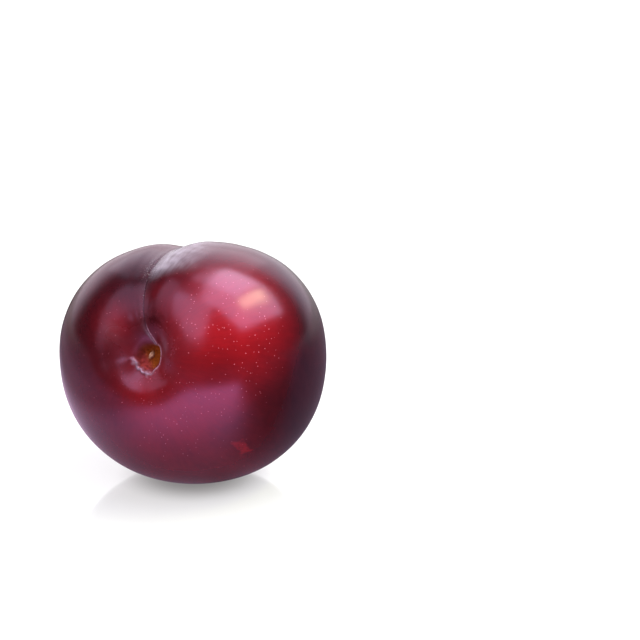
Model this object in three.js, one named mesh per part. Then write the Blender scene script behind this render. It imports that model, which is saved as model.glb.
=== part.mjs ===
// A ripe plum, picked, lying on its side with the stem end to the front (-Y) and the suture on top.
// Millimetres, +Z up. The origin is on the surface it rests on, under the middle of the fruit.
//
// The fruit is one solid of skin and flesh. Its skin is a radius that varies with direction: a full body with
// slow swellings, and the stem cavity, its torn pit, the suture and the blossom scar sunk into it.
// While it is shaped it is in its own frame: Z runs along the core to the stem end, Y points to the suture,
// and X crosses from cheek to cheek, to the right as the stem end is looked at with the suture on top.
import * as THREE from "three";

// Body
const WIDTH = 59.8; // across the two cheeks
const DEPTH = 53.4; // from the suture side to the back
const LENGTH = 55.4; // from the stem end to the blossom end, before the stem cavity is sunk
const STEM_SQUARENESS = 2.1; // exponent of the long profile at the stem end: 2 is an ellipse, more is fuller
const BLOSSOM_SQUARENESS = 2.05; // and at the blossom end
const CHEEK_SQUARENESS = 2.1; // exponent of the cross-section

// Slow swellings, each a wave over the skin: height, turns round the core, turns from end to end, start
const SWELLINGS = [
  [0.85, 1, 1, 1.55],
  [0.58, 3, 2, 1.75],
];

// Stem cavity, where the stalk was
const CAVITY_DEPTH = 4.4;
const CAVITY_RADIUS = 6.2;
const CAVITY_FALL = 1.6; // how fast it rises to the shoulders
const PIT_DEPTH = 1.1; // the stalk tore out a pit with a steep wall
const PIT_RADIUS = 2.85;
const PIT_MIDDLE = [-0.3, -0.95]; // its place beside the core, mostly away from the suture
const PIT_TIP = 0.8; // the pit is drawn out this much further to a tip
const PIT_TIP_TURN = rad(46); // the tip points this far round from the suture, where the crease runs in
const TIP_SHARPNESS = 8;
const PIT_WALL = 0.5; // how far the wall spreads from rim to floor
const STUMP_HEIGHT = 0.9; // the torn end of the stalk's fibres stands up from the pit's floor, on the core
const STUMP_RADIUS = 0.7;

// Suture, the groove from the stem cavity to the blossom end: a broad valley with a fine crease along it
const VALLEY_DEPTH = 1.3;
const VALLEY_HALF_WIDTH = 3.5;
const CREASE_DEPTH = 0.45;
const CREASE_HALF_WIDTH = 0.9;
const SUTURE_FADES_FROM = rad(60); // it grows shallow from here, measured from the stem end
const SUTURE_FADES_TO = rad(165);
const SUTURE_FADE = 0.75; // the share of its depth that it loses on the way
const SUTURE_SIDESTEP = 3.4; // at the stem end it steps this far aside, to pass along the pit's right edge
const SIDESTEP_REACH = 4; // and is back in line within about twice this
// The waves that lead it from a straight line on its way round: number and height
const SUTURE_WAVES = [
  [2, rad(-2.1)],
  [4, rad(-1.4)],
];

// Blossom end
const BLOSSOM_DIMPLE_DEPTH = 0.7;
const BLOSSOM_DIMPLE_RADIUS = 3.5;
const STYLE_POINT_HEIGHT = 0.5; // the dried style's tiny point
const STYLE_POINT_RADIUS = 0.6;

// How it lies
const STEM_RISE = rad(20.5); // the stem end points this far above the level
const ROLL = rad(12.2); // the suture leans this far to the left of the top, seen from the stem end
const REST_CUT = 0.5; // height taken off underneath, which leaves a small flat spot to rest on

// Facets
const COLUMNS = 96; // round the core
const ROWS = 56; // from the stem end to the blossom end
const CROWDING = 0.6; // 0 spreads them evenly, and near 1 crowds them at the suture and at both ends

function rad(degrees) {
  return THREE.MathUtils.degToRad(degrees);
}

// 1 at the middle, falling smoothly through e^-1 at the given distance
function bump(distance, radius) {
  return Math.exp(-((distance / radius) ** 2));
}

// The radius of a superellipse with half-axes a and b, in the direction with those cosines
function superellipse(cosA, a, cosB, b, exponent) {
  return (Math.abs(cosA / a) ** exponent + Math.abs(cosB / b) ** exponent) ** (-1 / exponent);
}

// The body without its hollows: polar is measured from the stem end, round from the suture
function bodyRadius(polar, round) {
  const girth = superellipse(Math.cos(round), DEPTH / 2, Math.sin(round), WIDTH / 2, CHEEK_SQUARENESS);
  const stemShare = (1 + Math.cos(polar)) / 2;
  const squareness = THREE.MathUtils.lerp(BLOSSOM_SQUARENESS, STEM_SQUARENESS, stemShare);
  return superellipse(Math.cos(polar), LENGTH / 2, Math.sin(polar), girth, squareness);
}

function swelling(polar, round) {
  return SWELLINGS.reduce(
    (sum, [height, turns, ends, start]) =>
      sum + height * Math.sin(polar) * Math.sin(turns * round + ends * polar + start),
    0,
  );
}

// How deep the skin is sunk at a point of the stem end, off from the core by x and y
function stemCavity(x, y) {
  const funnel = CAVITY_DEPTH / (1 + (Math.hypot(x, y) / CAVITY_RADIUS) ** 2) ** CAVITY_FALL;
  const [acrossPit, alongPit] = [x - PIT_MIDDLE[0], y - PIT_MIDDLE[1]];
  const towardsTip = Math.max(0, Math.cos(Math.atan2(acrossPit, alongPit) - PIT_TIP_TURN));
  const insideRim = PIT_RADIUS + PIT_TIP * towardsTip ** TIP_SHARPNESS - Math.hypot(acrossPit, alongPit);
  const pit = PIT_DEPTH * THREE.MathUtils.smoothstep(insideRim, -PIT_WALL / 2, PIT_WALL / 2);
  return funnel + pit - STUMP_HEIGHT * bump(Math.hypot(x, y), STUMP_RADIUS);
}

// How deep the suture is: x is the way across it, and y is under 0 past the core, where it ends
function suture(polar, x, y) {
  const across = Math.hypot(x, Math.min(y, 0));
  const fade = SUTURE_FADE * THREE.MathUtils.smoothstep(polar, SUTURE_FADES_FROM, SUTURE_FADES_TO);
  const valley = VALLEY_DEPTH * bump(across, VALLEY_HALF_WIDTH);
  const crease = CREASE_DEPTH * Math.exp(-across / CREASE_HALF_WIDTH);
  return (1 - fade) * (valley + crease);
}

function blossomEnd(off) {
  const dimple = BLOSSOM_DIMPLE_DEPTH * bump(off, BLOSSOM_DIMPLE_RADIUS);
  return dimple - STYLE_POINT_HEIGHT * bump(off, STYLE_POINT_RADIUS);
}

// A point of the skin in the fruit's own frame, from 0 to 1 round the core and from 0 to 1 from end to end
function skinPoint(u, v) {
  const crowd = (t) => t - (CROWDING * Math.sin(2 * Math.PI * t)) / (2 * Math.PI);
  const polar = Math.PI * crowd(v);
  const round = 2 * Math.PI * crowd(u);
  const radius = bodyRadius(polar, round) + swelling(polar, round);
  const off = radius * Math.sin(polar);
  const [x, y] = [off * Math.sin(round), off * Math.cos(round)];
  const atStemEnd = polar < Math.PI / 2;
  const hollow = atStemEnd ? stemCavity(x, y) : blossomEnd(off);
  const aside = atStemEnd ? SUTURE_SIDESTEP * bump(off, SIDESTEP_REACH) : 0;
  const sunk = hollow + suture(polar, x - aside, y);
  const strayed = SUTURE_WAVES.reduce(
    (turn, [waves, height]) => turn + height * Math.sin(waves * polar),
    round,
  );
  const direction = new THREE.Vector3(
    Math.sin(polar) * Math.sin(strayed),
    Math.sin(polar) * Math.cos(strayed),
    Math.cos(polar),
  );
  return direction.multiplyScalar(radius - sunk);
}

// Turns the fruit from its own frame to how it lies: stem end to the front, raised and rolled
function layDown(geometry) {
  geometry.rotateZ(ROLL);
  geometry.rotateX(Math.PI / 2 - STEM_RISE);
}

// Flattens the underside and puts the origin under the middle, on the surface it rests on
function restOnSurface(geometry) {
  geometry.computeBoundingBox();
  const floor = geometry.boundingBox.min.z + REST_CUT;
  const points = geometry.getAttribute("position");
  for (let i = 0; i < points.count; i++) {
    points.setZ(i, Math.max(points.getZ(i), floor));
  }
  geometry.computeBoundingBox();
  const middle = geometry.boundingBox.getCenter(new THREE.Vector3());
  geometry.translate(-middle.x, -middle.y, -floor);
}

function makeFruit() {
  const geometry = new THREE.SphereGeometry(1, COLUMNS, ROWS);
  const points = geometry.getAttribute("position");
  const uv = geometry.getAttribute("uv");
  for (let i = 0; i < points.count; i++) {
    const point = skinPoint(1 - uv.getX(i), 1 - uv.getY(i));
    points.setXYZ(i, point.x, point.y, point.z);
  }
  layDown(geometry);
  restOnSurface(geometry);
  geometry.computeVertexNormals();
  return geometry;
}

const skin = new THREE.MeshStandardMaterial({ color: 0x7d1226, roughness: 0.3, metalness: 0 });
const plum = new THREE.Mesh(makeFruit(), skin);
plum.name = "plum";

const part = new THREE.Group();
part.add(plum);
export default part;
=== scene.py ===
import bpy
import numpy as np
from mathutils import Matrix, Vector


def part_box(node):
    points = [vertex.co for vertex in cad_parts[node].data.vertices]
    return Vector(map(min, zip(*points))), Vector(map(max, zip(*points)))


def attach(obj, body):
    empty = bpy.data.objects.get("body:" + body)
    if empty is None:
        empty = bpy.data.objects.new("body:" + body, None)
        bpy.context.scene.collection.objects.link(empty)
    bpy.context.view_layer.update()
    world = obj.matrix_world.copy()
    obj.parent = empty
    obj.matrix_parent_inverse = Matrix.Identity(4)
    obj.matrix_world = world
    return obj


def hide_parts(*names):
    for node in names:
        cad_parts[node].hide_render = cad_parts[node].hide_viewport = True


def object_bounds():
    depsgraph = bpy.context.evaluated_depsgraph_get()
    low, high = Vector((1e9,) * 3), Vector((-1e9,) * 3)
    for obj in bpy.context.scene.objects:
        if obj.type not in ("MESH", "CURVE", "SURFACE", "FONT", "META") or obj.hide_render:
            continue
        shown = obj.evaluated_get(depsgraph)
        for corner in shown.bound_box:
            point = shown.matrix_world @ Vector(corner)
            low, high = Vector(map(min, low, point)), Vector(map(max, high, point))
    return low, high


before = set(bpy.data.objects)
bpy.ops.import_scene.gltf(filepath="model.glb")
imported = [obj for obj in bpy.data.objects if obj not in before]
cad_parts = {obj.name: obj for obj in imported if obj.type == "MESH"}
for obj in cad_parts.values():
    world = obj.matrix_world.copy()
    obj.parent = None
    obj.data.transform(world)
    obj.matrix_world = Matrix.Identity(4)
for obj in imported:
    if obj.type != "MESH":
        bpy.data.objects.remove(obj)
cad_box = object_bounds()
bpy.ops.object.select_all(action="DESELECT")

# --------------------------------------------------------------------------------------------------
# The ball that the fruit is shaped from
# Flesh swells evenly round the stone, so the fruit starts as a ball. Its rings are drawn together
# towards the stem end, where the detail is finest, and its ribs towards the suture.
# --------------------------------------------------------------------------------------------------
mm = 0.001
ribs, rings, halvings = 108, 56, 2  # the two halvings split each face in sixteen
rib_crowding = 0.75  # 0 spreads the ribs evenly, and near 1 crowds them at the suture
stem_end_crowding, blossom_end_crowding, middle_share = 2.3, 1.5, 0.6


def bump(distance, radius):
    return np.exp(-((distance / radius) ** 2))


def smoothstep(value, low, high):
    share = np.clip((value - low) / (high - low), 0, 1)
    return share * share * (3 - 2 * share)


def ripples(points, size, seed, waves=24):
    """Soft random relief, from about -1 to 1: waves about size long, crossing at random."""
    draw = np.random.default_rng(seed)
    heading = draw.normal(size=(waves, 3))
    heading /= np.linalg.norm(heading, axis=1)[:, None]
    stretch = draw.uniform(0.6, 1.5, waves)
    start = draw.uniform(0, 2 * np.pi, waves)
    crossing = points @ heading.T * (2 * np.pi * stretch / size) + start
    return np.sin(crossing).sum(axis=1) / np.sqrt(waves * 1.5)


bpy.ops.mesh.primitive_uv_sphere_add(segments=ribs, ring_count=rings, radius=1)
plum = bpy.context.object
plum.name = "plum_fruit"
finer = plum.modifiers.new("finer", "SUBSURF")
finer.subdivision_type = "SIMPLE"
finer.levels = halvings
bpy.ops.object.modifier_apply(modifier=finer.name)
ball = np.empty(len(plum.data.vertices) * 3)
plum.data.vertices.foreach_get("co", ball)
ball = ball.reshape(-1, 3)
ball /= np.linalg.norm(ball, axis=1)[:, None]
end_to_end = np.arccos(np.clip(ball[:, 2], -1, 1)) / np.pi
round_the_core = np.arctan2(ball[:, 0], ball[:, 1]) / (2 * np.pi)
stem_share = end_to_end**stem_end_crowding
blossom_share = middle_share * (1 - end_to_end) ** blossom_end_crowding
polar = np.pi * stem_share / (stem_share + blossom_share)
turn = 2 * np.pi * round_the_core - rib_crowding * np.sin(2 * np.pi * round_the_core)

# --------------------------------------------------------------------------------------------------
# The body
# Skin stretched tight over firm flesh: a little flattened from the suture to the back, with slow
# swellings. polar is measured from the stem end and turn from the suture, and a swelling is its
# height, how often it goes round and along, and its start.
# --------------------------------------------------------------------------------------------------
width, depth, length = 59.8 * mm, 53.4 * mm, 55.4 * mm
stem_squareness, blossom_squareness, cheek_squareness = 2.1, 2.05, 2.1
swellings = [(0.85 * mm, 1, 1, 1.55), (0.58 * mm, 3, 2, 1.75)]


def superellipse(cos_a, a, cos_b, b, exponent):
    return (np.abs(cos_a / a) ** exponent + np.abs(cos_b / b) ** exponent) ** (-1 / exponent)


girth = superellipse(np.cos(turn), depth / 2, np.sin(turn), width / 2, cheek_squareness)
at_the_stem = (1 + np.cos(polar)) / 2
squareness = blossom_squareness + (stem_squareness - blossom_squareness) * at_the_stem
radius = superellipse(np.cos(polar), length / 2, np.sin(polar), girth, squareness)
for height, turns, ends, start in swellings:
    radius += height * np.sin(polar) * np.sin(turns * turn + ends * polar + start)
off_core = radius * np.sin(polar)
x, y = off_core * np.sin(turn), off_core * np.cos(turn)
stem_half = polar < np.pi / 2

# --------------------------------------------------------------------------------------------------
# The suture
# The seam where the fruit closed as it grew: a broad valley with a fine crease, steep on its
# right side, that runs from the stem cavity over the top to the blossom end. At the stem it steps
# aside and becomes the pit's edge, with a small trough and a thin ridge beside it.
# --------------------------------------------------------------------------------------------------
valley_depth, valley_half_width = 1.3 * mm, 3.5 * mm
flatter_left_bank = 3.2 * mm  # added to the left bank's half width near the stem
crease_depth, crease_left_width, crease_right_width = 0.22 * mm, 0.45 * mm, 0.3 * mm
crease_at_the_stem = 0.3  # share of its depth that it has there
suture_fades_from, suture_fades_to, suture_fade = np.radians(60), np.radians(165), 0.75
trough_depth, trough_left, trough_width = 0.14 * mm, 0.5 * mm, 0.4 * mm
ridge_height, ridge_right, ridge_width = 0.16 * mm, 0.14 * mm, 0.13 * mm
sidestep, sidestep_reach = 3.4 * mm, 4 * mm
suture_waves = [(2, np.radians(-2.1)), (4, np.radians(-1.4))]

aside = np.where(stem_half, sidestep * bump(off_core, sidestep_reach), 0)
across_suture = x - aside
past_core = np.minimum(y, 0)
crease_width = np.where(across_suture < 0, crease_left_width, crease_right_width)
near_the_stem = 1 - smoothstep(polar, np.radians(40), np.radians(80))
bank_width = valley_half_width + np.where(across_suture < 0, flatter_left_bank * near_the_stem, 0)
suture_left = 1 - suture_fade * smoothstep(polar, suture_fades_from, suture_fades_to)
valley = np.exp(-((across_suture / bank_width) ** 2 + (past_core / valley_half_width) ** 2))
crease = np.exp(-np.hypot(across_suture / crease_width, past_core / crease_left_width))
away_from_the_stem = smoothstep(polar, np.radians(34), np.radians(52))
crease *= crease_at_the_stem + (1 - crease_at_the_stem) * away_from_the_stem
suture = suture_left * (valley_depth * valley + crease_depth * crease)
beside_the_pit = np.where(stem_half & (y > 0), smoothstep(off_core, 8.5 * mm, 5 * mm), 0)
suture += beside_the_pit * trough_depth * bump(across_suture + trough_left, trough_width)
suture -= beside_the_pit * ridge_height * bump(across_suture - ridge_right, ridge_width)

# --------------------------------------------------------------------------------------------------
# The stem cavity and its torn pit
# The stalk sat in a smooth funnel with a shallow dish below it, and tore out when the fruit was
# picked. It left a pit of bare, stringy flesh with a thin lip of skin standing up round its right
# and lower edge, and a frill at the lower left. The upper left side is torn softly.
# --------------------------------------------------------------------------------------------------
cavity_depth, cavity_radius, cavity_fall = 4.4 * mm, 6.2 * mm, 1.6
dish_depth, dish_radius, dish_width, dish_turn = 1.15 * mm, 5.7 * mm, 2.9 * mm, np.radians(-177)
pit_depth, pit_radius, pit_wall = 1.1 * mm, 2.95 * mm, 0.4 * mm
pit_middle = (-0.1 * mm, -1.05 * mm)
pit_tip, pit_tip_turn, tip_sharpness = 0.8 * mm, np.radians(42), 8
pit_notch, notch_sharpness = 0.5 * mm, 30  # at the pit's foot
frill_turn, soft_turn = np.radians(-140), np.radians(-40)
clean_turn, lip_turn = np.radians(125), np.radians(140)
frill_room, soft_room = 0.3 * mm, 0.85 * mm  # how much wider the pit is on these sides
lip_height, lip_outside, lip_width = 0.34 * mm, 0.25 * mm, 0.2 * mm
frill_height, frill_outside, frill_width = 0.36 * mm, 0.35 * mm, 0.3 * mm

across_pit, along_pit = x - pit_middle[0], y - pit_middle[1]
from_pit = np.hypot(across_pit, along_pit)
pit_turn = np.arctan2(across_pit, along_pit)
on_the_core = np.column_stack([x, y, np.zeros_like(x)])
ragged = smoothstep(np.cos(pit_turn - frill_turn), 0.4, 0.9)
rim = pit_radius + pit_tip * np.clip(np.cos(pit_turn - pit_tip_turn), 0, 1) ** tip_sharpness
rim += (0.07 * mm + 0.2 * mm * ragged) * ripples(on_the_core, 1.5 * mm, seed=3)
soft_side = smoothstep(np.cos(pit_turn - soft_turn), 0.3, 0.95)
rim += soft_room * soft_side + frill_room * ragged
rim += pit_notch * np.clip(-np.cos(pit_turn), 0, 1) ** notch_sharpness
inside_rim = rim - from_pit
wall_foot = pit_wall / 2 + 0.9 * mm * soft_side
torn = np.where(stem_half, smoothstep(inside_rim, -pit_wall / 2, wall_foot), 0)
clean_side = smoothstep(np.cos(pit_turn - clean_turn), 0, 0.6)
skin_stops = (0.5 * clean_side - 0.2) * mm
flesh_starts = (0.3 + 0.45 * clean_side + 0.4 * soft_side) * mm
bare = np.where(stem_half, smoothstep(inside_rim, skin_stops, flesh_starts), 0)
strings = ripples(np.column_stack([x, y * 0.35, 0 * x]), 0.5 * mm, seed=5)
lumps = ripples(on_the_core, 1.3 * mm, seed=8)
pit = pit_depth * torn * (1 + 0.1 * lumps + 0.05 * strings)

lip_side = smoothstep(np.cos(pit_turn - lip_turn), -0.35, 0.15)
lip = lip_side * lip_height * bump(inside_rim + lip_outside, lip_width)
frill = ragged * frill_height * bump(inside_rim + frill_outside, frill_width)
frill *= np.clip(0.9 + 0.3 * ripples(on_the_core, 1.3 * mm, seed=11), 0, 2)
standing_skin = np.where(stem_half, np.maximum(lip, frill), 0)

funnel = cavity_depth / (1 + (off_core / cavity_radius) ** 2) ** cavity_fall
dish = dish_depth * smoothstep(np.cos(turn - dish_turn), 0.2, 0.95)
dish *= bump(off_core - dish_radius, dish_width)
runs_out = smoothstep(polar, np.radians(90), np.radians(75))
cavity = (funnel + dish + pit - standing_skin) * runs_out

# --------------------------------------------------------------------------------------------------
# The stump
# The torn ends of the stalk's fibres: a pale, woody, crescent-shaped crumb that stands up from
# the pit's floor.
# --------------------------------------------------------------------------------------------------
stump_height, stump_length, stump_width = 0.85 * mm, 1.05 * mm, 0.55 * mm
stump_lean, stump_bow, stump_middle = np.radians(28), 0.2 * mm, (-0.5 * mm, -0.15 * mm)

stump_x, stump_y = x - stump_middle[0], y - stump_middle[1]
along_stump = stump_x * np.sin(stump_lean) + stump_y * np.cos(stump_lean)
across_stump = stump_x * np.cos(stump_lean) - stump_y * np.sin(stump_lean)
across_stump += stump_bow * (along_stump / stump_length) ** 2
stump = np.exp(-(((along_stump / stump_length) ** 2 + (across_stump / stump_width) ** 2) ** 2))
stump = np.where(stem_half, stump, 0)
cavity -= stump_height * stump * (1 + 0.15 * ripples(on_the_core, 0.4 * mm, seed=14))

# --------------------------------------------------------------------------------------------------
# The blossom end
# The flower's style withered here and left a dry brown point in a shallow dimple.
# --------------------------------------------------------------------------------------------------
dimple_depth, dimple_radius = 0.7 * mm, 3.5 * mm
style_height, style_radius = 0.5 * mm, 0.6 * mm

style_point = np.where(stem_half, 0, bump(off_core, style_radius))
dimple = np.where(stem_half, 0, bump(off_core, dimple_radius))
blossom_end = dimple_depth * dimple - style_height * style_point

# --------------------------------------------------------------------------------------------------
# How it lies
# The stem end points to the front and a little up, and the suture leans to the left of the top.
# The skin yields a little where it carries the weight, which leaves a small flat spot.
# --------------------------------------------------------------------------------------------------
stem_rise, roll = np.radians(20.5), np.radians(12.2)
rest_softness = 0.05 * mm  # height over which the flat spot runs into the round skin
dent_depth, dent_size = 0.035 * mm, 9 * mm

slow_dents = dent_depth * ripples(ball * radius[:, None], dent_size, seed=21)
strayed = turn + sum(height * np.sin(waves * polar) for waves, height in suture_waves)
skin = radius - suture - cavity - blossom_end + slow_dents * np.sin(polar)
fruit = np.column_stack(
    [np.sin(polar) * np.sin(strayed), np.sin(polar) * np.cos(strayed), np.cos(polar)]
)
fruit *= skin[:, None]

rolled = np.column_stack(
    [
        fruit[:, 0] * np.cos(roll) - fruit[:, 1] * np.sin(roll),
        fruit[:, 0] * np.sin(roll) + fruit[:, 1] * np.cos(roll),
        fruit[:, 2],
    ]
)
tilt = np.pi / 2 - stem_rise
lying = np.column_stack(
    [
        rolled[:, 0],
        rolled[:, 1] * np.cos(tilt) - rolled[:, 2] * np.sin(tilt),
        rolled[:, 1] * np.sin(tilt) + rolled[:, 2] * np.cos(tilt),
    ]
)
box_low, box_high = (np.array(corner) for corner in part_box("plum"))
lying[:, :2] += (box_low + box_high)[:2] / 2 - (lying.min(axis=0) + lying.max(axis=0))[:2] / 2
lying[:, 2] += box_high[2] - lying[:, 2].max()
lying[:, 2] = rest_softness * np.logaddexp(0, lying[:, 2] / rest_softness)

plum.data.vertices.foreach_set("co", lying.ravel())
plum.data.update()
bpy.ops.object.shade_smooth()

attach(plum, "root")
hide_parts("plum")

# --------------------------------------------------------------------------------------------------
# Where the fruit differs
# The sun reddened the cheek and the ground round the stem, and the rest ripened to a dark maroon,
# darkest along the suture. Low on the right the skin is darker still with painted shade. Masks on
# the mesh say where this is, and where the skin is torn, dusted with bloom, dull or rubbed clean,
# and where shade, highlights and reflections are painted.
# --------------------------------------------------------------------------------------------------
own_place = np.column_stack(
    [np.sin(polar) * np.sin(turn), np.sin(polar) * np.cos(turn), np.cos(polar)]
)


def patch(heading, reach):
    """1 towards heading on the fruit, fading to 0 over reach, which is a share of its radius."""
    middle = np.array(heading) / np.linalg.norm(heading)
    return bump(np.linalg.norm(own_place - middle, axis=1), reach)


def paint(name, values, kind="FLOAT"):
    layer = plum.data.attributes.new(name, kind, "POINT")
    field = "value" if kind == "FLOAT" else "vector"
    layer.data.foreach_set(field, np.ravel(values).astype(np.float32))


# The blush, from the maroon of the pigment (0) to its crimson (1), with painted shade low on the
# right
plain_blush = 0.175
blushes = [  # how much redder or darker, towards where, and how far it reaches
    (0.89, (0.68, 0.22, 0.7), 0.4),
    (0.55, (0.2, -0.41, 0.89), 0.48),
    (0.34, (-0.25, 0.26, 0.93), 0.16),
    (0.3, (-0.3, -0.9, -0.3), 0.6),
    (0.07, (0.45, -0.8, 0.3), 0.4),
    (0.11, (-0.04, -0.28, 0.96), 0.14),
    (0.12, (0.12, 0.47, 0.87), 0.12),
    (0.13, (0.67, -0.3, 0.68), 0.19),
    (0.08, (0.14, 0.28, 0.95), 0.1),
    (-0.19, (0, 0.71, 0.7), 0.46),
    # Painted shade: this patch darkens the skin low on the right
    (-0.46, (0.92, 0.06, -0.4), 0.8),
]
blush_and_shade = plain_blush + sum(
    redder * patch(heading, reach) for redder, heading, reach in blushes
)
blush_and_shade = np.maximum(blush_and_shade, 0.02) * (1 + 0.15 * ripples(own_place, 0.5, seed=31))
paint("blush_and_shade", np.clip(blush_and_shade, 0, 1.2))

# The bloom lies as a bank right of the crease, from over the top to the back, as dust along the
# suture, in the trough beside the pit, and as a haze round the stem. Beside the pit's tip and left
# of the stem the haze is a painted reflection.
right_bank = smoothstep(across_suture, -0.1 * mm, 1.9 * mm)
right_bank *= smoothstep(across_suture, 12 * mm, 3.5 * mm)
first_sight = polar - across_suture / (80 * mm)
over_the_top = smoothstep(first_sight, np.radians(33), np.radians(46))
over_the_top *= smoothstep(polar, np.radians(130), np.radians(88))
suture_side = y > 0
bank = over_the_top * right_bank * suture_side * (1 + 0.25 * ripples(own_place, 0.12, seed=37))
dusted = bump(across_suture, 1.3 * mm) * suture_left * (polar < np.radians(150)) * suture_side
trough = bump(across_suture + trough_left, trough_width) * beside_the_pit
ridge_highlight = bump(across_suture - 0.16 * mm, 0.12 * mm) * beside_the_pit
round_the_stem = patch((0.0, -0.05, 1.0), 0.36)
# Painted reflection: a pale haze beside the pit's tip and left of the stem
tip_reflection = bump(np.hypot(x - 4.6 * mm, (y - 1.2 * mm) / 2.4), 0.9 * mm) * stem_half
stem_reflection_left = patch((-0.28, 0.2, 0.94), 0.075)
stem_bloom_and_reflection = 0.2 * round_the_stem + 1.1 * tip_reflection + 0.75 * stem_reflection_left
paint("bloom_and_reflection", 0.35 * dusted + stem_bloom_and_reflection)
paint("bank", np.clip(bank, 0, 1.3))
paint("groove", trough * (1 - torn) * (0.12 + 0.43 * smoothstep(off_core, 6.5 * mm, 4 * mm)))

# Crumbs of bloom caught in the crease, and a painted shade along the crease, a dark line between
# the stem and the top
crumbly = bump(across_suture + 0.15 * mm, 0.3 * mm)
crumbly *= smoothstep(polar, np.radians(18), np.radians(30))
crumbly += bump(across_suture, 1.8 * mm) * smoothstep(polar, np.radians(36), np.radians(42))
crumbly *= suture_side * smoothstep(polar, np.radians(80), np.radians(50))
paint("crumbs", np.clip(crumbly, 0, 1))
painted_crease_shade = bump(across_suture - 0.05 * mm, 0.16 * mm) * suture_side
painted_crease_shade *= smoothstep(off_core, 4 * mm, 7 * mm)
paint("painted_crease_shade", painted_crease_shade * (1 - over_the_top))

# The pit's bare flesh, a painted shade on the wall of its soft side, and its orange side; the
# stump; and the pale skin that stands up round it, painted paler along the lip and the ridge
# beside the crease as a highlight
paint("torn", bare)
paint("painted_wall_shade", soft_side * smoothstep(inside_rim, 1.9 * mm, 0.5 * mm))
paint("flesh_side", smoothstep(x + 0.5 * (y - pit_middle[1]), -2.4 * mm, -0.2 * mm))
paint("stump", stump)
paint("frill", np.clip(frill / (0.2 * mm), 0, 1))
# The standing skin is pale, and painted paler still as a highlight on the lip and the ridge top
pale_edge_and_highlight = standing_skin / (0.22 * mm) * (1 - bare)
pale_edge_and_highlight += ridge_highlight * smoothstep(off_core, 7.5 * mm, 6 * mm)
paint("lip", np.clip(pale_edge_and_highlight, 0, 1))
paint("style_point", style_point)

# Where the skin is matt, and where a painted shade darkens the valley beside the suture
above_the_pit = smoothstep(np.cos(pit_turn - np.radians(-20)), 0.5, 0.95)
above_the_pit *= smoothstep(inside_rim, -1.3 * mm, -0.1 * mm)
matt = 0.8 * above_the_pit + 0.2 * bump(off_core, 8 * mm)
matt += clean_side * bump(inside_rim - 0.3 * mm, 0.4 * mm)
paint("matt", np.clip(matt * stem_half * (1 - bare), 0, 1))
paint("painted_valley_shade", patch((0.11, 0.3, 0.947), 0.105))

# A rubbed place low on the front: a star with two pairs of arms, and a fainter spot beside it
skin_radius = 27.1  # mm, at the star
star_middle = np.array([14.4, -20.6, 10.2]) / skin_radius
star_arms = np.array([(1.7, -1, -4.6), (1.9, 2.6, 3.1)]) / skin_radius
arm_sharpness = 0.6  # below 1, the sides between the arms are hollow
arm_shares = np.abs((own_place - star_middle) @ np.linalg.pinv(star_arms))
star_edge = (arm_shares**arm_sharpness).sum(axis=1) + 0.13 * ripples(own_place, 0.09, seed=41)
star = smoothstep(star_edge, 1.15, 0.72) * (own_place @ star_middle > 0)
star += 0.35 * patch((11.3, -22.9, 7.9), 0.055)
paint("rubbed", star)

# Coordinates that follow the skin, drawn out from end to end, for the streaks and the fibres
streak_radius, drawn_out = 26 * mm, 0.25
streaks = np.column_stack([np.sin(turn), np.cos(turn), drawn_out * polar]) * streak_radius
paint("streaks", streaks, "FLOAT_VECTOR")

# --------------------------------------------------------------------------------------------------
# The skin's look
# Thin, tight and glossy: maroon and crimson pigment under a film of pale wax. The wax, or bloom,
# is a lavender haze that gathers beside the suture and round the stem, where part of it is a
# painted reflection. Small pale corky pores, the lenticels, are sprinkled over it, mostly over the
# red cheek.
# --------------------------------------------------------------------------------------------------
skin_look = bpy.data.materials.new("plum_skin")
skin_look.use_nodes = True
nodes, links = skin_look.node_tree.nodes, skin_look.node_tree.links
shader = nodes["Principled BSDF"]


def mask(name, output="Fac"):
    node = nodes.new("ShaderNodeAttribute")
    node.attribute_name = name
    return node.outputs[output]


def feed(socket, value):
    """Plugs in a link, or sets a number or colour."""
    if isinstance(value, bpy.types.NodeSocket):
        links.new(value, socket)
    else:
        socket.default_value = value


def maths(operation, first, second=0.0, third=0.0, clamp=False):
    node = nodes.new("ShaderNodeMath")
    node.operation = operation
    node.use_clamp = clamp
    for socket, value in zip(node.inputs, (first, second, third)):
        feed(socket, value)
    return node.outputs["Value"]


def ramp(value, start, end, low=0.0, high=1.0):
    node = nodes.new("ShaderNodeMapRange")
    node.interpolation_type = "SMOOTHSTEP"
    names = ("Value", "From Min", "From Max", "To Min", "To Max")
    for name, number in zip(names, (value, start, end, low, high)):
        feed(node.inputs[name], number)
    return node.outputs["Result"]


def blend(amount, under, over):
    node = nodes.new("ShaderNodeMix")
    node.data_type = "RGBA"
    feed(node.inputs["Factor"], amount)
    for socket, colour in zip([s for s in node.inputs if s.type == "RGBA"], (under, over)):
        feed(socket, colour if isinstance(colour, bpy.types.NodeSocket) else (*colour, 1))
    return next(s for s in node.outputs if s.type == "RGBA")


place = nodes.new("ShaderNodeTexCoord").outputs["Object"]
along = mask("streaks", "Vector")


def noise(size, detail=2.0, roughness=0.5, where=None):
    node = nodes.new("ShaderNodeTexNoise")
    links.new(where or place, node.inputs["Vector"])
    node.inputs["Scale"].default_value = 1 / size
    node.inputs["Detail"].default_value = detail
    node.inputs["Roughness"].default_value = roughness
    return node.outputs["Fac"]


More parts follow.
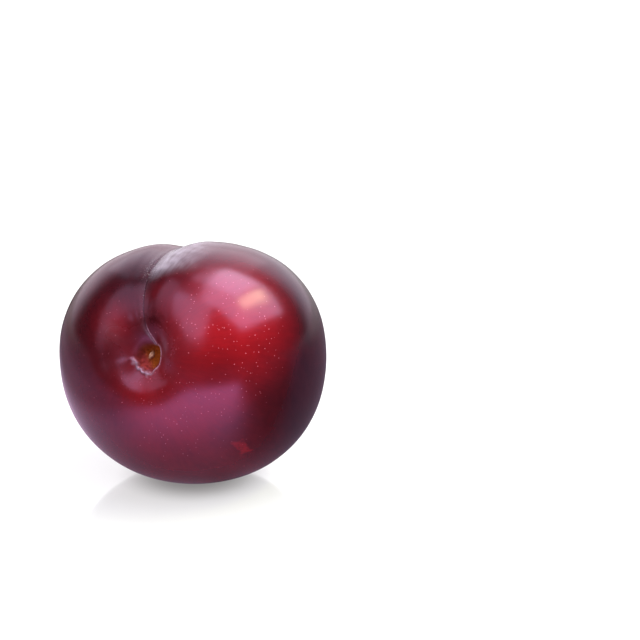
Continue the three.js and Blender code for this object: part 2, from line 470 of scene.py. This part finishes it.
def pores(cell, dot, share):
    """Dots of radius dot at scattered points about cell apart, of which a share shows."""
    node = nodes.new("ShaderNodeTexVoronoi")
    links.new(place, node.inputs["Vector"])
    node.inputs["Scale"].default_value = 1 / cell
    chance = nodes.new("ShaderNodeSeparateColor")
    links.new(node.outputs["Color"], chance.inputs["Color"])
    near = maths("MULTIPLY", node.outputs["Distance"], cell)
    size = ramp(chance.outputs["Green"], 0, 1, 0.7 * dot, 1.2 * dot)
    shown = maths("LESS_THAN", chance.outputs["Red"], share)
    return maths("MULTIPLY", shown, ramp(maths("DIVIDE", near, size), 1, 0.6))


# The pigment: the blush with its mottles, flecks and blotches, its painted shade low on the right,
# and the rubbed star
maroon, crimson = (0.02, 0.003, 0.0065), (0.29, 0.0068, 0.0115)
mottled = maths("MULTIPLY_ADD", noise(5 * mm, 4, 0.6), 0.5, -0.25)
flecked = maths("MULTIPLY_ADD", noise(0.9 * mm, 3, 0.6, along), 0.5, -0.25)
uneven = maths("MULTIPLY", mask("blush_and_shade"), maths("ADD", mottled, flecked))
redness_and_shade = maths("ADD", mask("blush_and_shade"), uneven, clamp=True)
blotched = maths("MULTIPLY_ADD", noise(2.2 * mm, 4, 0.65), 0.13, -0.065)
redness_and_shade = maths("ADD", redness_and_shade, blotched, clamp=True)
star_redness = maths("MULTIPLY", mask("rubbed"), ramp(noise(0.8 * mm), 0.3, 0.5, 0.25, 0.7))
pigment_and_shade = blend(maths("MAXIMUM", redness_and_shade, star_redness), maroon, crimson)

# The pores, more of them and paler where the skin is redder
pore_spacing, pore_radius, pore_tone = 0.74 * mm, 0.108 * mm, (0.86, 0.21, 0.3)
pore_share = maths("MULTIPLY_ADD", mask("blush_and_shade"), 1.05, -0.06)
pore_paleness = ramp(mask("blush_and_shade"), 0.15, 0.75, 0.2, 0.7)
dots = maths("MULTIPLY", pores(pore_spacing, pore_radius, pore_share), pore_paleness)
skin_colour = blend(dots, pigment_and_shade, pore_tone)

# The bloom: a thin haze, partly a painted reflection by the stem, the dust in the trough and on the
# bank, crumbs of it, and the pale edge with its painted highlight
bloom_tone, bank_tone, crumb_tone = (0.42, 0.36, 0.5), (0.5, 0.45, 0.58), (0.6, 0.55, 0.6)
lip_highlight_tone, frill_tone = (0.85, 0.45, 0.64), (0.37, 0.28, 0.42)
patchy = ramp(noise(3 * mm, 5, 0.65), 0.35, 0.7, 0.5, 1.4)
crumbled = ramp(noise(0.35 * mm, 3, 0.7), 0.35, 0.6, 0.45, 1.2)
wiped = ramp(noise(1.2 * mm, 4, 0.65, along), 0.3, 0.65, 0.55, 1.1)
sprinkled = ramp(noise(0.26 * mm, 3, 0.7), 0.56, 0.68)
bloom_layers = [  # mask, texture, strength and tone, from the skin up
    ("bloom_and_reflection", patchy, 0.075, bloom_tone),
    ("groove", crumbled, 0.5, bloom_tone),
    ("bank", wiped, 0.39, bank_tone),
    ("crumbs", sprinkled, 0.36, crumb_tone),
]
for name, texture, strength, tone in bloom_layers:
    amount = maths("MULTIPLY", maths("MULTIPLY", mask(name), texture), strength, clamp=True)
    skin_colour = blend(amount, skin_colour, tone)
# Painted highlight: the lip is pale skin painted paler, and the frill keeps its own greyer tone
pale_and_highlight_share = maths("MULTIPLY", mask("lip"), ramp(noise(0.5 * mm), 0.3, 0.7, 0.3, 0.65))
skin_colour = blend(pale_and_highlight_share, skin_colour, blend(mask("frill"), lip_highlight_tone, frill_tone))
# Painted shade: a thin line along the crease is darkened to maroon
skin_colour = blend(maths("MULTIPLY", mask("painted_crease_shade"), 0.7), skin_colour, maroon)

# The torn flesh, orange above and to the right and red at the lower left, and the stump's wood
fibres = noise(0.35 * mm, 4, 0.7, along)
orange_flesh = blend(fibres, (0.09, 0.012, 0.001), (0.55, 0.13, 0.004))
red_flesh = blend(fibres, (0.14, 0.008, 0.008), (0.5, 0.07, 0.06))
wall_shade_tone, style_tone = (0.09, 0.01, 0.003), (0.09, 0.04, 0.02)
flesh = blend(mask("flesh_side"), red_flesh, orange_flesh)
# Painted shade darkens the wall of the pit's soft side
flesh = blend(maths("MULTIPLY", mask("painted_wall_shade"), 0.55), flesh, wall_shade_tone)
wood = blend(noise(0.3 * mm, 3), (0.5, 0.24, 0.15), (0.95, 0.62, 0.45))
surface = blend(mask("torn"), skin_colour, blend(mask("stump"), flesh, wood))
surface = blend(ramp(mask("style_point"), 0.3, 0.7), surface, style_tone)
links.new(surface, shader.inputs["Base Color"])

# The gloss: duller on bloom and torn flesh, wet in the pit, and darkened by painted shade in the
# valley beside the suture
skin_rough = maths("MULTIPLY_ADD", noise(4 * mm, 4, 0.6), 0.1, 0.16)
for name, rougher in (("bloom_and_reflection", 0.08), ("torn", 0.45), ("matt", 0.55)):
    skin_rough = maths("ADD", skin_rough, maths("MULTIPLY", mask(name), rougher))
links.new(skin_rough, shader.inputs["Roughness"])
soaked = maths("MULTIPLY", mask("torn"), maths("SUBTRACT", 1, mask("stump"), clamp=True))
# Painted shade: the metallic share darkens a patch of the valley beside the suture
painted_valley_darkening = maths("MULTIPLY", mask("painted_valley_shade"), 0.72)
links.new(maths("MULTIPLY_ADD", soaked, 0.7, painted_valley_darkening, clamp=True), shader.inputs["Metallic"])
shader.inputs["Specular IOR Level"].default_value = 0.55
shader.inputs["Specular Tint"].default_value = (0.82, 0.5, 0.92, 1)
shader.inputs["Sheen Weight"].default_value = 0.02
shader.inputs["Sheen Roughness"].default_value = 0.3
shader.inputs["Sheen Tint"].default_value = (0.9, 0.75, 1, 1)
grain_height = 0.03 * mm
grain = nodes.new("ShaderNodeBump")
grain.inputs["Distance"].default_value = grain_height
relief = maths("ADD", maths("MULTIPLY", dots, 0.4), maths("MULTIPLY", mask("torn"), fibres))
links.new(relief, grain.inputs["Height"])
links.new(grain.outputs["Normal"], shader.inputs["Normal"])
plum.data.materials.clear()
plum.data.materials.append(skin_look)

# --------------------------------------------------------------------------------------------------
# The table
# A white acrylic sheet that glows by itself, less under and round the plum: a painted soft shadow.
# --------------------------------------------------------------------------------------------------
plum_middle = (Vector(cad_box[0]) + Vector(cad_box[1])) / 2
camera_azimuth, camera_elevation = 24.25, 18
table_radius, table_tone, table_roughness = 4, (0.295, 0.3, 0.32, 1), 0.07
painted_shadow_radius, glow_radius = 5.8 * mm, 18.5 * mm
painted_shadow_glow, full_glow = 0.23, 0.64

bpy.ops.mesh.primitive_circle_add(
    vertices=96, radius=table_radius, fill_type="NGON", location=(0, 0, 0)
)
table = bpy.context.object
table.name = "table_top"
acrylic = bpy.data.materials.new("white_acrylic_painted_shadow")
acrylic.use_nodes = True
table_nodes, table_links = acrylic.node_tree.nodes, acrylic.node_tree.links
acrylic_shader = table_nodes["Principled BSDF"]
acrylic_shader.inputs["Base Color"].default_value = table_tone
acrylic_shader.inputs["Roughness"].default_value = table_roughness
acrylic_shader.inputs["Emission Color"].default_value = (1, 1, 1, 1)
table_place = table_nodes.new("ShaderNodeTexCoord")
from_the_plum = table_nodes.new("ShaderNodeVectorMath")
from_the_plum.operation = "LENGTH"
glow_with_painted_shadow = table_nodes.new("ShaderNodeMapRange")
glow_with_painted_shadow.interpolation_type = "SMOOTHSTEP"
# Painted shadow: the glow is lowest within this radius of the plum
glow_with_painted_shadow.inputs["From Min"].default_value = painted_shadow_radius
glow_with_painted_shadow.inputs["From Max"].default_value = glow_radius
glow_with_painted_shadow.inputs["To Min"].default_value = painted_shadow_glow
glow_with_painted_shadow.inputs["To Max"].default_value = full_glow
table_links.new(table_place.outputs["Object"], from_the_plum.inputs[0])
table_links.new(from_the_plum.outputs["Value"], glow_with_painted_shadow.inputs["Value"])
table_links.new(glow_with_painted_shadow.outputs["Result"], acrylic_shader.inputs["Emission Strength"])
table.data.materials.append(acrylic)

# Glowing cards lie round the plum, and only its gloss shows them: a bright one in front that
# fades towards the plum, greyer ones beside it, a faint one at its right, and pale ones far off
# behind it and to the left. The fading near the plum is a painted shadow of it, and the bright
# card stops along a slanting edge at its right, a painted shade.
card_size, card_height = 3, 0.3 * mm
turned = np.radians(camera_azimuth)
bpy.ops.mesh.primitive_plane_add(
    size=card_size, location=(0, 0, card_height), rotation=(0, 0, turned)
)
cards = bpy.context.object
cards.name = "glowing_cards"
cards_look = bpy.data.materials.new("glowing_cards")
cards_look.use_nodes = True
card_nodes, card_links = cards_look.node_tree.nodes, cards_look.node_tree.links
card_nodes.remove(card_nodes["Principled BSDF"])
on_the_cards = card_nodes.new("ShaderNodeSeparateXYZ")
card_place = card_nodes.new("ShaderNodeTexCoord")
card_links.new(card_place.outputs["Object"], on_the_cards.inputs["Vector"])
slant = card_nodes.new("ShaderNodeVectorMath")
slant.operation = "DOT_PRODUCT"
slant.inputs[1].default_value = (1, 0.58, 0)
card_links.new(card_place.outputs["Object"], slant.inputs[0])
card_distance = card_nodes.new("ShaderNodeVectorMath")
card_distance.operation = "LENGTH"
card_links.new(card_place.outputs["Object"], card_distance.inputs[0])
card_axes = {
    "X": on_the_cards.outputs["X"],
    "Y": on_the_cards.outputs["Y"],
    "slant": slant.outputs["Value"],
    "distance": card_distance.outputs["Value"],
}


def card_ramp(axis, start, end, low, high):
    """Goes from low at start to high at end, in metres along the axis, in either direction."""
    node = card_nodes.new("ShaderNodeMapRange")
    node.interpolation_type = "SMOOTHSTEP"
    settings = (start, end, low, high)
    for name, value in zip(("From Min", "From Max", "To Min", "To Max"), settings):
        node.inputs[name].default_value = value
    card_links.new(card_axes[axis], node.inputs["Value"])
    return node.outputs["Result"]


def card_maths(operation, first, second):
    node = card_nodes.new("ShaderNodeMath")
    node.operation = operation
    card_links.new(first, node.inputs[0])
    card_links.new(second, node.inputs[1])
    return node.outputs["Value"]


def card_product(*ramps):
    """The product of ramps, each given as its axis, start, end, low and high."""
    product = card_ramp(*ramps[0])
    for settings in ramps[1:]:
        product = card_maths("MULTIPLY", product, card_ramp(*settings))
    return product


# Painted shadow: the bright card dims towards the plum and stops along the slant at its right
bright_card = card_product(
    ("Y", -0.135, -0.108, 0, 1),
    ("X", -0.078, -0.01, 0, 1),
    ("slant", -0.01, 0.01, 1, 0),
    ("Y", -0.1, -0.02, 2.9, 1),
)
grey_cards = card_product(
    ("slant", -0.005, 0.022, 0.8, 0.02),
    ("Y", 0, 0.1, 1, 0.4),
    ("Y", -0.18, -0.1, 0.08, 1),
    ("X", -0.1, -0.02, 0.56, 1),
    ("X", -0.2, -0.1, 0.6, 1),
    ("distance", 0.02, 0.07, 0.45, 1),
)
near_cards = card_maths("ADD", bright_card, grey_cards)
# Painted shadow of the plum: the near cards fade close to it
near_cards = card_maths("MULTIPLY", near_cards, card_ramp("distance", 0.01, 0.052, 0.17, 1))
right_card = card_product(("Y", -0.026, -0.008, 0, 0.2), ("X", 0.005, 0.015, 0, 1))
card_behind = card_ramp("Y", 0.1, 0.35, 0, 0.35)
card_far_left = card_ramp("X", -0.07, -0.12, 0, 0.17)
far_cards = card_maths("MAXIMUM", card_behind, card_far_left)
lit = card_maths("ADD", near_cards, card_maths("ADD", far_cards, right_card))
card_glow = card_nodes.new("ShaderNodeEmission")
card_tones = ((0.98, 0.7, 1, 1), (1, 1, 1, 1))  # lavender near the plum, white behind it
tint = card_nodes.new("ShaderNodeMix")
tint.data_type = "RGBA"
card_links.new(card_ramp("Y", 0.05, 0.25, 0, 1), tint.inputs["Factor"])
for socket, colour in zip([s for s in tint.inputs if s.type == "RGBA"], card_tones):
    socket.default_value = colour
card_links.new(next(s for s in tint.outputs if s.type == "RGBA"), card_glow.inputs["Color"])
card_links.new(lit, card_glow.inputs["Strength"])
from_below = card_nodes.new("ShaderNodeBsdfTransparent")
one_sided = card_nodes.new("ShaderNodeMixShader")
card_face = card_nodes.new("ShaderNodeNewGeometry")
card_links.new(card_face.outputs["Backfacing"], one_sided.inputs["Fac"])
card_links.new(card_glow.outputs["Emission"], one_sided.inputs[1])
card_links.new(from_below.outputs["BSDF"], one_sided.inputs[2])
card_links.new(one_sided.outputs["Shader"], card_nodes["Material Output"].inputs["Surface"])
cards.data.materials.append(cards_look)
cards.visible_camera = cards.visible_diffuse = cards.visible_shadow = False

# --------------------------------------------------------------------------------------------------
# The studio
# Soft panels, each a little over a metre off: the key from the right with a warm bulb in it, a
# strip over the camera, a fill from the left in two parts and a backlight. Behind them is a pale
# backdrop. The rest of the room is dark in the plum's gloss, and pale to the camera.
# --------------------------------------------------------------------------------------------------
panel_distance = 1.2


def towards(azimuth, elevation):
    a, e = np.radians(azimuth), np.radians(elevation)
    return Vector((np.sin(a) * np.cos(e), -np.cos(a) * np.cos(e), np.sin(e)))


def softbox(name, at, shift, size, lean, radiance, nearer=0.0, colour=(1, 1, 1)):
    """A panel at an azimuth and elevation that faces the plum, shifted and turned in its plane."""
    azimuth, elevation = at
    sideways, upwards = shift
    wide, high = size
    out = towards(azimuth, elevation)
    right = Vector((np.cos(np.radians(azimuth)), np.sin(np.radians(azimuth)), 0))
    lamp = bpy.data.lights.new(name, "AREA")
    lamp.shape = "RECTANGLE"
    lamp.size, lamp.size_y = wide, high
    lamp.energy = radiance * np.pi * wide * high
    lamp.color = colour
    panel = bpy.data.objects.new(name, lamp)
    bpy.context.collection.objects.link(panel)
    panel.location = plum_middle + out * (panel_distance - nearer)
    panel.location += right * sideways + out.cross(right) * upwards
    panel.rotation_euler = out.to_track_quat("Z", "Y").to_euler()
    panel.rotation_euler.rotate_axis("Z", -np.radians(lean))
    panel.visible_camera = False


key_at, strip_at, fill_at, back_at = (110, 58), (0, 50), (-65, 35), (-150, 42)
bulb_tone = (0.95, 1, 0.35)
softbox("key_light", key_at, (-0.02, 0.14), (1.25, 1.3), 20, 5.2)
softbox("key_light_middle", key_at, (0.33, 0.45), (0.64, 0.75), 20, 3.7, nearer=0.02)
softbox("key_bulb", key_at, (0.05, -0.055), (0.6, 0.18), 25, 14.2, nearer=0.04, colour=bulb_tone)
softbox("strip_light", strip_at, (-0.02, 0.085), (0.56, 0.89), 0, 3.15)
softbox("fill_light", fill_at, (0.171, 0.429), (0.72, 1.18), -18, 1.3)
softbox("fill_light_low", fill_at, (0.288, -0.322), (0.36, 0.32), -18, 1.05, nearer=0.02)
softbox("back_light", back_at, (0, 0), (1.1, 0.95), 0, 0.78)

backdrop_at, backdrop_edges, backdrop_glow = (-156, 0), (0.48, 0.82), (0.012, 1.3)
backdrop_tone = (1, 0.92, 1, 1)
world = bpy.data.worlds.new("studio")
bpy.context.scene.world = world
world.use_nodes = True
world_nodes, world_links = world.node_tree.nodes, world.node_tree.links
direction = world_nodes.new("ShaderNodeTexCoord")
facing = world_nodes.new("ShaderNodeVectorMath")
facing.operation = "DOT_PRODUCT"
facing.inputs[1].default_value = towards(*backdrop_at)
backdrop = world_nodes.new("ShaderNodeMapRange")
backdrop.interpolation_type = "SMOOTHSTEP"
sockets = ("From Min", "From Max", "To Min", "To Max")
for name, value in zip(sockets, backdrop_edges + backdrop_glow):
    backdrop.inputs[name].default_value = value
seen = world_nodes.new("ShaderNodeLightPath")
pale = world_nodes.new("ShaderNodeMix")
pale.inputs["B"].default_value = 1
world_nodes["Background"].inputs["Color"].default_value = backdrop_tone
world_links.new(direction.outputs["Generated"], facing.inputs[0])
world_links.new(facing.outputs["Value"], backdrop.inputs["Value"])
world_links.new(seen.outputs["Is Camera Ray"], pale.inputs["Factor"])
world_links.new(backdrop.outputs["Result"], pale.inputs["A"])
world_links.new(pale.outputs["Result"], world_nodes["Background"].inputs["Strength"])

# --------------------------------------------------------------------------------------------------
# The camera
# A long lens that looks past the plum, which lies low and to the left in the picture.
# --------------------------------------------------------------------------------------------------
picture = 640  # pixels across
focal = 2720  # the lens's focal length in the same pixels
camera_distance = 0.6
plum_at = (191.8, 359.6)  # pixels from the left and from the top

camera_data = bpy.data.cameras.new("camera")
camera_data.sensor_width = 36
camera_data.lens = focal / picture * camera_data.sensor_width
camera_data.clip_start, camera_data.clip_end = 0.01, 20
camera = bpy.data.objects.new("camera", camera_data)
bpy.context.collection.objects.link(camera)
back = towards(camera_azimuth, camera_elevation)
right = Vector((np.cos(np.radians(camera_azimuth)), np.sin(np.radians(camera_azimuth)), 0))
up = back.cross(right)
off_right = (plum_at[0] - picture / 2) / focal
off_up = (picture / 2 - plum_at[1]) / focal
camera.location = plum_middle + (back - right * off_right - up * off_up) * camera_distance
camera.rotation_euler = (-back).to_track_quat("-Z", "Y").to_euler()
bpy.context.scene.camera = camera
bpy.context.scene.view_settings.view_transform = "Standard"
